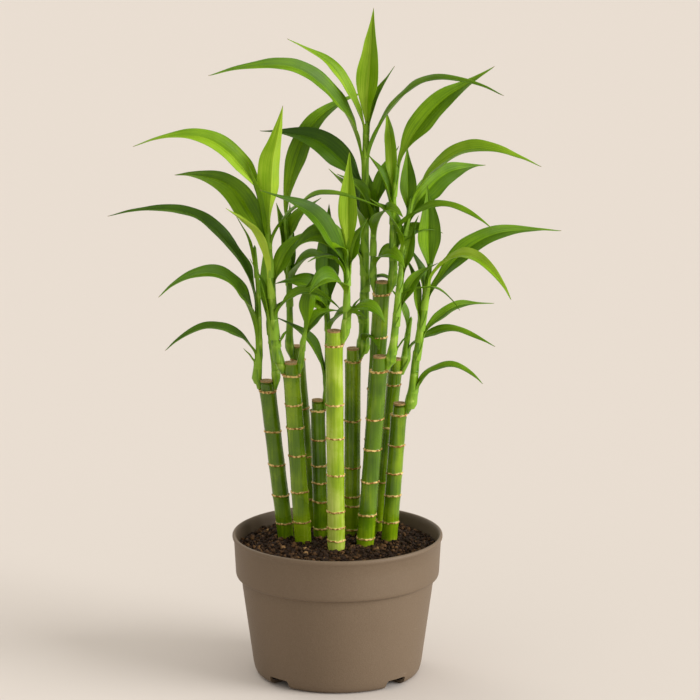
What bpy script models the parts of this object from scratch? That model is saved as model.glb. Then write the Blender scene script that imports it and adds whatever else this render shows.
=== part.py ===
"""Lucky bamboo in its nursery pot: canes cut at different heights, their leafy shoots, soil and pot.

Sizes are in millimetres here and become metres as each mesh is made.
X runs to the right, Y to the back, Z up; the pot stands on Z = 0 with its axis on Z.
Bearings are seen from above: 0 points right, 90 back, 180 left and -90 to the front.
"""
import math

import bmesh
import bpy
from mathutils import Vector

MM = 0.001
GAP = 0.3  # left between pieces that touch
WALL_GAP = 0.4  # left between the soil and the pot's wall
MERGE = 0.001  # points nearer than this are one point

# Pot: outside and inside walls as radius and height, from the middle of the base
POT_OUTSIDE = (
    (0, 0), (67.5, 0), (71.5, 1.0), (74.2, 3.6), (75.6, 7.5), (76.5, 12), (86.7, 86), (87.4, 89.5),
    (90.0, 92.3), (91.6, 95), (92.2, 99), (93.6, 125), (95.0, 126.8), (95.0, 128.8), (93.8, 130),
)
POT_HEIGHT = 130
POT_FLOOR = 3
POT_LIP_INSIDE = ((92.4, 129.6), (91.4, 127.5), (90.8, 122))
POT_WALL_INSIDE = ((89.6, 99), (84.8, 89), (74.4, 12), (72.4, 5.5), (68.5, POT_FLOOR))
POT_MOUTH = 92.6
ABOVE_POT = 140  # height that the hollow is cut from
POT_SIDES = 48
CHANNEL_BEARINGS = (45, 135, 225, 315)
CHANNEL_START = 46
CHANNEL_END = 84
CHANNEL_HEIGHT = 8.5
CHANNEL_HALF_WIDTHS = (12.5, 10)  # at the bottom and at the top
CHANNEL_WALL = 2.4
CHANNEL_LEAN = 2  # how far the inner end leans outwards
CHANNEL_BELOW = -2  # height that the channel is cut from
CHANNEL_WALL_FOOT = 1.5  # height inside the pot's floor that its walls start from
DRAIN_HOLE_RADIUS = 4
DRAIN_HOLE_REACH = 60
DRAIN_HOLE_ENDS = (5, 16)
DRAIN_HOLE_SIDES = 16

# Soil: its top from the wall to the middle
SOIL_TOP = ((89.9, 116.6), (84, 118.2), (66, 120.2), (40, 121.6), (0, 122))

# Canes: foot x and y at the soil, top x and y, top height, radius, heights of the joint rings
SOIL_LEVEL = 122
CANE_FOOT = 74
SOCKET_TOP = 135
CANE_SIDES = 10
JOINT_LIP = 0.55
JOINT_NECK = 0.2  # how far the cane narrows above each ring
JOINT_HALF_HEIGHT = 1.1
STUB_SHARE = 0.78  # of the cane's radius, above its last joint
STUB_TAPER = 0.97
CANES = {
    "cane_1": (-47, 17, -64, 17, 268, 7.6, (135, 161, 190, 221, 258)),
    "cane_2": (-31, 0, -42, 0, 289, 7.8, (141, 169, 203, 229, 250, 277)),
    "cane_3": (-15, 17, -18, 17, 250, 6.8, (130, 155, 173, 189, 213, 240)),
    "cane_4": (-1, -23, -3, -23, 324, 8.0, (130, 142, 157, 191, 225, 256, 310)),
    "cane_5": (13, 25, 14, 25, 296, 7.4, (127, 149, 158, 185, 229, 284)),
    "cane_6": (25, -9, 38, -9, 297, 8.0, (128, 150, 181, 211, 239, 283)),
    "cane_7": (27, 10, 40, 10, 361, 7.6, (140, 175, 215, 262, 310, 349)),
    "cane_8": (38, 34, 53, 34, 284, 6.6, (132, 169, 220, 260, 272)),
    "cane_9": (47, 9, 56, 9, 249, 7.4, (138, 163, 184, 210, 238)),
    "cane_10": (-23, 46, -37, 46, 293, 6.6, (150, 190, 235, 280)),
}

# Shoots: cane, bearing of the bud, radius, tip radius, further points of the stem
FOOT_SHARE = 0.55  # of the shoot's radius, where it sits on the joint
KNEE_RISE = 9
SHOOT_POINT = 2  # length of the pointed tip, in tip radii
SHOOT_SIDES = 8
SHOOTS = {
    "shoot_1": ("cane_1", 155, 3.5, 1.4, ((-70, 19, 290), (-71, 17, 350), (-74, 17, 390))),
    "shoot_2": ("cane_1", 10, 3.4, 1.4, ((-59, 18, 295), (-63, 21, 330))),
    "shoot_3": ("cane_2", 180, 4.4, 2.0, ((-55, 0, 304), (-58, 0, 335), (-60, 0, 375), (-62, 0, 412))),
    "shoot_4": ("cane_10", 220, 3.6, 1.6, ((-43, 39, 320), (-44, 39, 368), (-47, 40, 410))),
    "shoot_5": ("cane_2", 0, 2.8, 1.4, ((-31, 1, 307), (-28, 2, 325))),
    "shoot_6": ("cane_3", 0, 3.4, 1.6, ((-9, 18, 285), (-9, 19, 335))),
    "shoot_7": ("cane_4", 0, 3.8, 1.8, ((9, -22, 356), (9, -21, 395))),
    "shoot_8": ("cane_5", 30, 5.0, 2.0, ((24, 28, 325), (25, 26, 381), (25, 25, 463), (26, 25, 500))),
    "shoot_9": ("cane_7", 150, 3.2, 1.6, ((32, 15, 385), (33, 16, 425))),
    "shoot_10": ("cane_7", 0, 3.8, 1.6, ((49, 8, 395), (50, 5, 434), (53, 4, 466))),
    "shoot_11": (
        "cane_6", 0, 4.0, 1.6, ((51, -9, 315), (54, -7, 347), (58, 2, 383), (63, 12, 420), (66, 15, 435)),
    ),
    "shoot_12": ("cane_8", 0, 3.4, 1.6, ((62, 34, 295), (66, 34, 320))),
    "shoot_13": ("cane_9", 0, 4.4, 2.0, ((70, 9, 285), (77, 9, 330), (81, 9, 360), (83, 9, 375))),
}

# Leaves of each shoot: height on the stem, bearing, length, width, angle above level at the foot and
# at the tip, how late it bends, turn about its own length at the middle and at the tip
LEAF_THICKNESS = 0.7
LEAF_EDGE = 0.3
LEAF_FOLD = 16
LEAF_STEPS = 9
LEAF_FOOT_ON_STEM = 0.9  # widest half-width of the foot, in stem radii
LEAF_FOOT_OF_WIDTH = 0.4  # widest half-width of the foot, in leaf widths
HUG_SHARE = 0.1  # of the length, where the leaf still follows its stem
TURN_SHARE = 0.45  # of the length, over which it turns at each end
STEM_AHEAD = 12
LEAVES = {
    "shoot_1": (
        (322, 180, 196, 18, 81, -33, 1.2, -30, -20),
        (293, 214, 158, 22, 84, -55, 1.3, -45, 0),
        (279, 190, 110, 13, 76, -58, 0.9, -25, -25),
    ),
    "shoot_3": (
        (408, 190, 174, 22, 80, -38, 1.25, -55, 10),
        (376, 150, 142, 26, 79, -27, 1.2, -65, -20),
        (363, 228, 98, 22, 78, 24, 1.0, -20, -20),
        (408, -60, 124, 25, 86, 66, 1.0, 0, 0),
        (394, 235, 88, 10, 77, 62, 1.0, -10, 0),
        (382, -30, 154, 11, 84, -28, 0.8, 20, 0),
        (325, -20, 82, 14, 78, -55, 0.9, 30, 0),
    ),
    "shoot_4": (
        (400, 25, 168, 20, 88, -10, 1.5, 50, 0),
        (345, 85, 80, 15, 88, 80, 1.0, 0, 0),
    ),
    "shoot_6": (
        (330, 85, 98, 24, 88, 72, 1.0, 0, 0),
        (262, 190, 88, 14, 88, 15, 1.0, -45, 0),
    ),
    "shoot_7": (
        (388, 80, 96, 19, 88, 82, 1.0, 0, 0),
        (360, 205, 138, 25, 84, 12, 0.9, -60, 0),
    ),
    "shoot_8": (
        (446, 200, 216, 22, 85, -30, 1.1, -45, -20),
        (486, 182, 122, 15, 73, 13, 1.5, -35, -20),
        (495, 70, 110, 22, 88, 74, 1.0, 0, 0),
        (428, 168, 126, 25, 68, -12, 1.0, -60, 0),
        (452, -25, 192, 14, 77, -42, 1.3, 30, 30),
    ),
    "shoot_9": (
        (420, 30, 66, 15, 84, 50, 1.0, 40, 0),
    ),
    "shoot_10": (
        (455, 10, 138, 24, 76, 24, 0.7, 60, 20),
        (396, -20, 116, 13, 60, -50, 1.0, 20, 20),
        (438, 100, 88, 13, 80, 25, 1.2, -30, 0),
    ),
    "shoot_11": (
        (418, -20, 160, 20, 74, -38, 1.0, 35, 10),
        (402, 42, 122, 24, 64, -18, 1.0, 65, 10),
        (420, 95, 62, 16, 70, 76, 1.0, 0, 0),
        (335, 20, 60, 13, 80, 15, 1.0, 40, 0),
    ),
    "shoot_12": (
        (284, -15, 96, 12, 58, -38, 0.8, 30, 20),
    ),
    "shoot_13": (
        (331, 15, 162, 20, 67, -21, 1.0, 50, 10),
        (350, -45, 134, 15, 66, -70, 1.0, 30, 30),
        (304, 20, 84, 12, 62, -15, 0.8, 30, 0),
        (258, -10, 78, 12, 74, -60, 0.9, 25, 25),
        (366, 105, 82, 23, 88, 74, 2.0, 0, 0),
    ),
}

# Skins: linear colour and roughness
POT_SKIN = ((0.2, 0.135, 0.085), 0.6)
SOIL_SKIN = ((0.032, 0.015, 0.006), 0.95)
CANE_SKIN = ((0.075, 0.15, 0.006), 0.35)
PALE_CANE_SKIN = ((0.25, 0.38, 0.03), 0.35)
SHOOT_SKIN = ((0.18, 0.32, 0.02), 0.4)
LEAF_SKIN = ((0.08, 0.2, 0.006), 0.4)
YOUNG_LEAF_SKIN = ((0.18, 0.34, 0.02), 0.4)
PALE_CANES = ("cane_4",)
YOUNG_LEAVES = (
    "leaf_3_1", "leaf_3_3", "leaf_3_4", "leaf_7_1", "leaf_8_2", "leaf_8_3",
    "leaf_10_1", "leaf_10_3", "leaf_13_2",
)


def clear_file():
    for thing in list(bpy.data.objects):
        bpy.data.objects.remove(thing, do_unlink=True)


def material(name, skin):
    colour, roughness = skin
    made = bpy.data.materials.new(name)
    made.use_nodes = True
    shader = made.node_tree.nodes["Principled BSDF"]
    shader.inputs["Base Color"].default_value = (*colour, 1)
    shader.inputs["Roughness"].default_value = roughness
    shader.inputs["Metallic"].default_value = 0
    return made


def finish(mesh, name, skin, at, smooth=True):
    """Turn a bmesh in millimetres into a named object in metres, with its origin at a given point."""
    bmesh.ops.remove_doubles(mesh, verts=mesh.verts, dist=MERGE)
    # the shorter diagonal is the same one on both sides of a thin twisted panel, so it keeps its thickness
    bmesh.ops.triangulate(mesh, faces=mesh.faces[:], quad_method="SHORT_EDGE", ngon_method="BEAUTY")
    bmesh.ops.translate(mesh, vec=-at, verts=mesh.verts)
    bmesh.ops.scale(mesh, vec=(MM, MM, MM), verts=mesh.verts)
    bmesh.ops.recalc_face_normals(mesh, faces=mesh.faces)
    data = bpy.data.meshes.new(name)
    mesh.to_mesh(data)
    mesh.free()
    made = bpy.data.objects.new(name, data)
    made.location = at * MM
    bpy.context.collection.objects.link(made)
    if skin:
        data.materials.append(skin)
    if smooth:
        data.polygons.foreach_set("use_smooth", [True] * len(data.polygons))
    return made


def polar(bearing, reach=1.0):
    turn = math.radians(bearing)
    return Vector((reach * math.cos(turn), reach * math.sin(turn), 0))


def smooth_step(share):
    share = min(max(share, 0), 1)
    return share * share * (3 - 2 * share)


def above(corner, extruded):
    """Find the extruded point that an edge joins to a corner."""
    joined = (edge.other_vert(corner) for edge in corner.link_edges)
    return next(point for point in joined if point in extruded)


def loft(rows, name, skin, at=Vector((0, 0, 0)), smooth=True):
    """Extrude the first row of points through all the others; a row of one point closes to a tip."""
    mesh = bmesh.new()
    ring = [mesh.verts.new(point) for point in rows[0]]
    mesh.faces.new(ring)
    for row in rows[1:]:
        edges = [mesh.edges.get(pair) for pair in zip(ring, ring[1:] + ring[:1])]
        extruded = set(bmesh.ops.extrude_edge_only(mesh, edges=edges)["geom"])
        ring = [above(corner, extruded) for corner in ring]
        for i, corner in enumerate(ring):
            corner.co = row[i % len(row)]
    mesh.faces.new(ring)
    return finish(mesh, name, skin, at, smooth)


def circle(centre, radius, sides):
    centre = Vector(centre)
    return [centre + polar(360 * i / sides, radius) for i in range(sides)]


def lathe(profile, name, skin):
    """Spin a profile of radius and height about Z; both of its ends lie on the axis."""
    mesh = bmesh.new()
    points = [mesh.verts.new((radius, 0, height)) for radius, height in profile]
    edges = [mesh.edges.new(pair) for pair in zip(points, points[1:])]
    bmesh.ops.spin(
        mesh, geom=points + edges, axis=(0, 0, 1), cent=(0, 0, 0),
        steps=POT_SIDES, angle=math.tau, use_merge=True,
    )
    return finish(mesh, name, skin, Vector((0, 0, 0)))


def cut(body, *tools):
    for tool in tools:
        tool.hide_render = True
        tool.display_type = "WIRE"
        boolean = body.modifiers.new("cut", "BOOLEAN")
        boolean.operation = "DIFFERENCE"
        boolean.solver = "EXACT"
        boolean.object = tool
    bpy.context.view_layer.update()
    shape = bpy.data.meshes.new_from_object(body.evaluated_get(bpy.context.evaluated_depsgraph_get()))
    body.modifiers.clear()
    body.data = shape
    shape.name = body.name
    for tool in tools:
        bpy.data.objects.remove(tool, do_unlink=True)


def channel(bearing, grow, name):
    """Block the shape of one drainage channel under the pot, grown on every side."""
    low, high = (width + grow for width in CHANNEL_HALF_WIDTHS)
    top = Vector((0, 0, CHANNEL_HEIGHT + grow))
    bottom = Vector((0, 0, CHANNEL_WALL_FOOT if grow else CHANNEL_BELOW))
    out = polar(bearing)
    side = polar(bearing + 90)
    rows = []
    for reach, lean in ((CHANNEL_START - grow, CHANNEL_LEAN), (CHANNEL_END, 0)):
        foot = out * reach + bottom
        head = out * (reach + lean) + top
        rows.append([foot - side * low, foot + side * low, head + side * high, head - side * high])
    return loft(rows, name, None, smooth=False)


def build_pot(skin):
    pot = lathe(POT_OUTSIDE + ((0, POT_HEIGHT),), "pot", skin)
    inside = POT_LIP_INSIDE + POT_WALL_INSIDE
    hollow = lathe(((0, ABOVE_POT), (POT_MOUTH, ABOVE_POT)) + inside + ((0, POT_FLOOR),), "pot_hollow", None)
    cut(hollow, *[channel(bearing, CHANNEL_WALL, f"channel_wall_{bearing}") for bearing in CHANNEL_BEARINGS])
    holes = []
    for bearing in CHANNEL_BEARINGS:
        spot = polar(bearing, DRAIN_HOLE_REACH)
        centres = [spot + Vector((0, 0, height)) for height in DRAIN_HOLE_ENDS]
        rows = [circle(centre, DRAIN_HOLE_RADIUS, DRAIN_HOLE_SIDES) for centre in centres]
        holes.append(loft(rows, f"drain_hole_{bearing}", None))
    cut(pot, hollow)
    cut(pot, *[channel(bearing, 0, f"channel_{bearing}") for bearing in CHANNEL_BEARINGS], *holes)


def cane_centre(name, height):
    foot_x, foot_y, top_x, top_y, top = CANES[name][:5]
    share = (height - SOIL_LEVEL) / (top - SOIL_LEVEL)
    return Vector((foot_x + (top_x - foot_x) * share, foot_y + (top_y - foot_y) * share, height))


def build_soil(skin):
    side = [(radius - WALL_GAP, max(height, POT_FLOOR + GAP)) for radius, height in reversed(POT_WALL_INSIDE)]
    soil = lathe([(0, POT_FLOOR + GAP)] + side + list(SOIL_TOP), "soil", skin)
    tools = [channel(bearing, CHANNEL_WALL + GAP, f"soil_channel_{bearing}") for bearing in CHANNEL_BEARINGS]
    for name, cane in CANES.items():
        centres = [cane_centre(name, height) for height in (CANE_FOOT - GAP, SOCKET_TOP)]
        rows = [circle(centre, cane[5] + GAP, CANE_SIDES) for centre in centres]
        tools.append(loft(rows, f"socket_{name}", None))
    cut(soil, *tools)


def build_cane(name, skin):
    top, radius, joints = CANES[name][4:]
    stub = radius * STUB_SHARE
    profile = [(radius, CANE_FOOT)]
    for joint in joints:
        profile.append((radius, joint - JOINT_HALF_HEIGHT))
        profile.append((radius + JOINT_LIP, joint))
        profile.append((radius - JOINT_NECK, joint + JOINT_HALF_HEIGHT))
    profile += [(stub, joints[-1] + JOINT_HALF_HEIGHT), (stub * STUB_TAPER, top)]
    rows = [circle(cane_centre(name, height), r, CANE_SIDES) for r, height in profile]
    loft(rows, name, skin, cane_centre(name, CANE_FOOT))


def shoot_path(name):
    """Centre points and radii of a shoot's stem, from its foot on the joint to its tip."""
    cane, bearing, radius, tip_radius, points = SHOOTS[name]
    ledge = CANES[cane][6][-1] + JOINT_HALF_HEIGHT + GAP
    stub = CANES[cane][5] * STUB_SHARE
    foot_radius = radius * FOOT_SHARE
    foot = cane_centre(cane, ledge) + polar(bearing, stub + GAP + foot_radius)
    knee = cane_centre(cane, ledge + KNEE_RISE) + polar(bearing, stub + 2 * GAP + radius)
    path = [foot, knee] + [Vector(point) for point in points]
    rise = path[-1].z - knee.z
    radii = [foot_radius] + [radius + (tip_radius - radius) * (point.z - knee.z) / rise for point in path[1:]]
    return path, radii


def stem_at(name, height):
    """Centre and radius of a shoot's stem at a height."""
    path, radii = shoot_path(name)
    for i in range(len(path) - 1):
        if height <= path[i + 1].z or i == len(path) - 2:
            share = (height - path[i].z) / (path[i + 1].z - path[i].z)
            return path[i].lerp(path[i + 1], share), radii[i] + (radii[i + 1] - radii[i]) * min(share, 1)


def build_shoot(name, skin):
    path, radii = shoot_path(name)
    rows = [circle(point, radius, SHOOT_SIDES) for point, radius in zip(path, radii)]
    rows.append([path[-1] + (path[-1] - path[-2]).normalized() * radii[-1] * SHOOT_POINT])
    loft(rows, name, skin, path[0])


def build_leaf(name, shoot, leaf, skin):
    rows = leaf_rows(shoot, leaf)
    loft(rows, name, skin, (rows[0][1] + rows[0][4]) / 2)


def leaf_rows(shoot, leaf):
    """Cross-sections of a leaf: it hugs its stem first, then arches out and narrows to a tip."""
    height, bearing, length, width, rise, fall, bend, turn, tip_turn = leaf
    centre, stem_radius = stem_at(shoot, height)
    stem = (stem_at(shoot, height + STEM_AHEAD)[0] - centre).normalized()
    out = polar(bearing)
    out = (out - stem * out.dot(stem)).normalized()
    fold = math.radians(LEAF_FOLD)
    point = centre + out * (stem_radius / math.cos(fold) + GAP + LEAF_THICKNESS / 2)
    foot_half = min(stem_radius * LEAF_FOOT_ON_STEM, width * LEAF_FOOT_OF_WIDTH)
    side_level = polar(bearing + 90)
    rows = []
    for step in range(LEAF_STEPS + 1):
        share = step / LEAF_STEPS
        angle = math.radians(rise + (fall - rise) * share ** bend)
        along = polar(bearing) * math.cos(angle) + Vector((0, 0, math.sin(angle)))
        along = stem.lerp(along, smooth_step(share / HUG_SHARE)).normalized()
        side = (side_level - along * side_level.dot(along)).normalized()
        inner = along.cross(side)
        late = smooth_step((share - 1 + TURN_SHARE) / TURN_SHARE)
        roll = math.radians(turn * smooth_step(share / TURN_SHARE) + (tip_turn - turn) * late)
        side, inner = (
            side * math.cos(roll) + inner * math.sin(roll),
            inner * math.cos(roll) - side * math.sin(roll),
        )
        if step == LEAF_STEPS:
            rows.append([point])
            break
        if share < 0.5:
            half = foot_half + (width / 2 - foot_half) * smooth_step(share * 2)
        else:
            half = width / 2 * (1 - (share * 2 - 1) ** 2)
        reach = side * half * math.cos(fold)
        lift = inner * half * math.sin(fold)
        edge = inner * LEAF_EDGE / 2
        rib = inner * LEAF_THICKNESS / 2
        rows.append([
            point + reach + lift + edge, point + rib, point - reach + lift + edge,
            point - reach + lift - edge, point - rib, point + reach + lift - edge,
        ])
        point = point + along * (length / LEAF_STEPS)
    return rows


def main():
    clear_file()
    build_pot(material("pot", POT_SKIN))
    build_soil(material("soil", SOIL_SKIN))
    for name in CANES:
        build_cane(name, material(name, PALE_CANE_SKIN if name in PALE_CANES else CANE_SKIN))
    for name in SHOOTS:
        build_shoot(name, material(name, SHOOT_SKIN))
    for shoot, leaves in LEAVES.items():
        for number, leaf in enumerate(leaves, 1):
            name = f"leaf_{shoot.removeprefix('shoot_')}_{number}"
            skin = YOUNG_LEAF_SKIN if name in YOUNG_LEAVES else LEAF_SKIN
            build_leaf(name, shoot, leaf, material(name, skin))


main()
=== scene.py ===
"""Looks for a potted lucky bamboo: ringed canes, leafy shoots, crumbly soil and a nursery pot.

Shapes are worked out in millimetres and become metres when a piece is finished.
X runs to the right, Y to the back, Z up. Bearings are seen from above: 0 right, 90 back, -90 front.
"""

import math
import random

import bmesh
import bpy
from mathutils import Matrix, Vector, noise


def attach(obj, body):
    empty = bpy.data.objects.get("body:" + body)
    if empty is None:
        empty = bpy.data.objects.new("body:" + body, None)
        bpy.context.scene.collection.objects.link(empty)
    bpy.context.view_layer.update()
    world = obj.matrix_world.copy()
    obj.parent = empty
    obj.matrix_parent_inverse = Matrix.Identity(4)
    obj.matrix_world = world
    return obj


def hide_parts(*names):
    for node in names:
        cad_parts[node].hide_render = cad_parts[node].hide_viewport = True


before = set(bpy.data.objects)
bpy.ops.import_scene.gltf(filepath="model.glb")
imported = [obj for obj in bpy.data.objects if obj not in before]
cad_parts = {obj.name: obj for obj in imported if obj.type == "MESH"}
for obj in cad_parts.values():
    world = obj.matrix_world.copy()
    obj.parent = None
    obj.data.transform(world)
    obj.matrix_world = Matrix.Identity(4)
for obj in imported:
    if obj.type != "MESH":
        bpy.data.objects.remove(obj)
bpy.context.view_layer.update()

MM = 0.001
MERGE = 0.00001
GAP = 0.3
UP = Vector((0, 0, 1))

# Camera and light
CAMERA_PLACE = (0.0113, -4.5, 1.412)
CAMERA_TILT = 13.88
CAMERA_LENS = 266
CAMERA_SENSOR = 36
FLOOR_RADIUS = 14
FLOOR_SIDES = 96
FLOOR_COLOUR = (0.68, 0.63, 0.59)
AIR_COLOUR = (1.0, 0.945, 0.865)
AIR_STRENGTH = 0.78
# Broad far lamps: name, place that they shine from, strength, spread in degrees, colour
LAMPS = (
    ("key", (2.6, -1.0, 1.05), 2.9, 40, (1.0, 0.99, 0.97)),
    ("back", (-1.6, 2.2, 2.0), 0.5, 30, (1.0, 0.98, 0.93)),
)

# Pot: outside and inside as radius and height
POT_FLOOR = 3
POT_SIDES = 144
POT_SHARP = 38  # bends of more degrees than this stay crisp
POT_OUTSIDE = (
    (0, 0), (67.5, 0), (69.6, 0.3), (71.5, 1.0), (73.1, 2.1), (74.2, 3.6), (75.0, 5.4), (75.6, 7.5),
    (76.5, 12), (79.9, 36.7), (83.3, 61.3), (86.6, 85.5), (86.8, 88.4), (87.1, 89.7), (87.9, 90.3),
    (90.0, 90.9), (91.1, 91.7), (91.7, 93), (92.0, 95), (92.2, 99), (92.9, 112), (93.6, 124.6),
    (94.3, 125.6), (94.8, 126.4), (95.0, 127.2), (95.0, 128.6), (94.6, 129.5), (93.9, 129.9), (93.2, 130),
)
POT_INSIDE = (
    (92.9, 129.8), (92.3, 129.2), (91.6, 127.8), (91.2, 125), (90.8, 122), (89.6, 99), (84.8, 89), (74.4, 12),
    (72.4, 5.5), (68.5, POT_FLOOR), (0, POT_FLOOR),
)
CHANNEL_BEARINGS = (45, 135, 225, 315)
CHANNEL_START = 46
CHANNEL_END = 84
CHANNEL_HEIGHT = 8.5
CHANNEL_HALF_WIDTH = 11.6
CHANNEL_EDGE = 2.6
CHANNEL_EDGE_STEPS = 4

# Soil: its top from the wall to the middle, as radius and height
SOIL_TOP = ((89.9, 116.6), (84, 118.2), (66, 120.2), (40, 121.6), (0, 122))
SOIL_LEVEL = 122
SOIL_BOTTOM = 110
SOIL_ROUGHNESS = 1.7  # how much higher the bumps of the finished soil are
SOIL_WALL_GAP = 0.6
SOIL_SIDES = 220
SOIL_RINGS = 60
SOIL_TOP_SHARE = 0.82  # share of the rings on top; the rest close its side and underside
SOIL_SIDE_SHARE = 0.9
LUMPS = (0.9, 9)  # height and breadth of the larger bumps
CLODS = (0.5, 3.5)  # and of the smaller ones
HEAPS = 4
CRUMBS = 1300  # in each heap
CRUMB_REACH = 88.6  # how far from the middle they lie
CRUMB_CANE_GAP = 0.4
CRUMB_RADIUS = 0.7  # of the smallest
CRUMB_SPREAD = 1.9  # how much bigger the biggest are
CRUMB_HEAPING = 1.2  # how high they lie on each other
PALE_CRUMBS = 0.07  # share of crumbs that are pale

# Canes: foot x and y at the soil, top x and y, top height, radius, heights of the joint rings
CANE_START = 112  # height at which a finished cane starts, under the top of the soil
CANE_SIDES = 28
JOINT_LIP = 0.62  # how far a ring stands out
JOINT_HALF_HEIGHT = 1.1
STUB_SHARE = 0.78  # thickness of the cut stub as a share of its cane's
CANE_STEP = 5  # height between the rows of a cane
CANE_WAIST = 0.035  # how much a length narrows between its joints
RING_REACH = 2.6  # how far above and below the joint a ring ends
RING_SHAPE = (
    # height from the joint, share of the lip, how dry it is
    (-RING_REACH, 0, 0), (-1.5, 0.1, 0.15), (-0.9, 0.35, 0.55), (-0.5, 0.7, 0.95), (-0.15, 1.0, 1),
    (0.2, 0.95, 1), (0.5, 0.35, 0.8), (0.8, -0.25, 0.5), (1.4, -0.4, 0.2), (RING_REACH, -0.15, 0),
)
STUB_START = 0.6  # height above the last joint at which the stub takes over
CUT_EDGE = ((2.2, 0.15), (1.4, 0.5), (0.6, 0.9))  # depth below the cut and how dry it is
# Share of the stub's radius and depth below its top, from the rim to the middle
CUT_FACE = ((0.98, 0.1), (0.93, 0.05), (0.8, 0.35), (0.55, 0.7), (0.28, 0.85), (0, 0.9))
RIPE_HEIGHT = 95  # how far up a cane its foot's yellower tone reaches
RIPE_TONE = 0.28  # how much yellower the foot is
ORDINARY_CANE = 0.45
CANES = {
    "cane_1": (-47, 17, -64, 17, 268, 7.6, (135, 161, 190, 221, 258)),
    "cane_2": (-31, 0, -42, 0, 289, 7.8, (141, 169, 203, 229, 250, 277)),
    "cane_3": (-15, 17, -18, 17, 250, 6.8, (130, 155, 173, 189, 213, 240)),
    "cane_4": (-1, -23, -3, -23, 324, 8.0, (130, 142, 157, 191, 225, 256, 310)),
    "cane_5": (13, 25, 14, 25, 296, 7.4, (127, 149, 158, 185, 229, 284)),
    "cane_6": (25, -9, 38, -9, 297, 8.0, (128, 150, 181, 211, 239, 283)),
    "cane_7": (27, 10, 40, 10, 361, 7.6, (140, 175, 215, 262, 310, 349)),
    "cane_8": (38, 34, 53, 34, 284, 6.6, (132, 169, 220, 260, 272)),
    "cane_9": (47, 9, 56, 9, 249, 7.4, (138, 163, 184, 210, 238)),
    "cane_10": (-23, 46, -37, 46, 293, 6.6, (150, 190, 235, 280)),
}
CANE_TONES = {"cane_1": 0.15, "cane_4": 1.0, "cane_3": 0.2, "cane_6": 0.25, "cane_9": 0.35, "cane_7": 0.2}

# Shoots: cane, bearing of the bud, radius, tip radius, further points of the stem
FOOT_SHARE = 0.55  # radius of a shoot's foot as a share of its stem's
FOOT_SWELL = 1.2  # how much fuller the finished foot is at its widest
KNEE_RISE = 9  # height over which it widens to the stem
FOOT_TAPER = 24  # height over which the foot swells and thins again
SHOOT_SIDES = 16
SHOOT_STEP = 2.5
LAP_SPACING = 21  # from one sheath's upper edge to the next
LAP_SWELL = 0.07  # how much wider a sheath is at that edge
LAP_SLANT = 3.5  # how far that edge slants
SHOOTS = {
    "shoot_1": ("cane_1", 155, 3.5, 1.4, ((-70, 19, 290), (-71, 17, 350), (-74, 17, 390))),
    "shoot_2": ("cane_1", 10, 3.4, 1.4, ((-59, 18, 295), (-63, 21, 330))),
    "shoot_3": ("cane_2", 180, 4.4, 2.0, ((-55, 0, 304), (-58, 0, 335), (-60, 0, 375), (-62, 0, 412))),
    "shoot_4": ("cane_10", 220, 3.6, 1.6, ((-43, 39, 320), (-44, 39, 368), (-47, 40, 410))),
    "shoot_5": ("cane_2", 0, 2.8, 1.4, ((-31, 1, 307), (-28, 2, 325))),
    "shoot_6": ("cane_3", 0, 3.4, 1.6, ((-9, 18, 285), (-9, 19, 335))),
    "shoot_7": ("cane_4", 0, 3.8, 1.8, ((9, -22, 356), (9, -21, 395))),
    "shoot_8": ("cane_5", 30, 5.0, 2.0, ((24, 28, 325), (25, 26, 381), (25, 25, 463), (26, 25, 500))),
    "shoot_9": ("cane_7", 150, 3.2, 1.6, ((32, 15, 385), (33, 16, 425))),
    "shoot_10": ("cane_7", 0, 3.8, 1.6, ((49, 8, 395), (50, 5, 434), (53, 4, 466))),
    "shoot_11": (
        "cane_6", 0, 4.0, 1.6, ((51, -9, 315), (54, -7, 347), (58, 2, 383), (63, 12, 420), (66, 15, 435)),
    ),
    "shoot_12": ("cane_8", 0, 3.4, 1.6, ((62, 34, 295), (66, 34, 320))),
    "shoot_13": ("cane_9", 0, 4.4, 2.0, ((70, 9, 285), (77, 9, 330), (81, 9, 360), (83, 9, 375))),
}

# Leaves: height on the stem, bearing, length, width, angle above level at the foot and at the tip,
# how late it bends, turn about its own length at the middle and at the tip
LEAF_FOLD = 16  # how far each half of the solid leaf folds up
LEAF_STEPS = 9
LEAF_THICKNESS = 0.7  # thickness of the solid leaf
LEAF_SKIN = 0.4  # thickness of the finished leaf
LEAF_SHARP = 60  # bends of more degrees than this stay crisp
LEAF_ACROSS = 10
LEAF_ALONG = 56
LEAF_CREASE = 25  # how far each half of the finished blade folds up
FOOT_CREASE = 14  # and how much further at its foot
OPEN_SHARE = 0.4  # share of the length over which it opens
WIDEST = 0.43  # share of the length at which a leaf is widest
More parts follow.
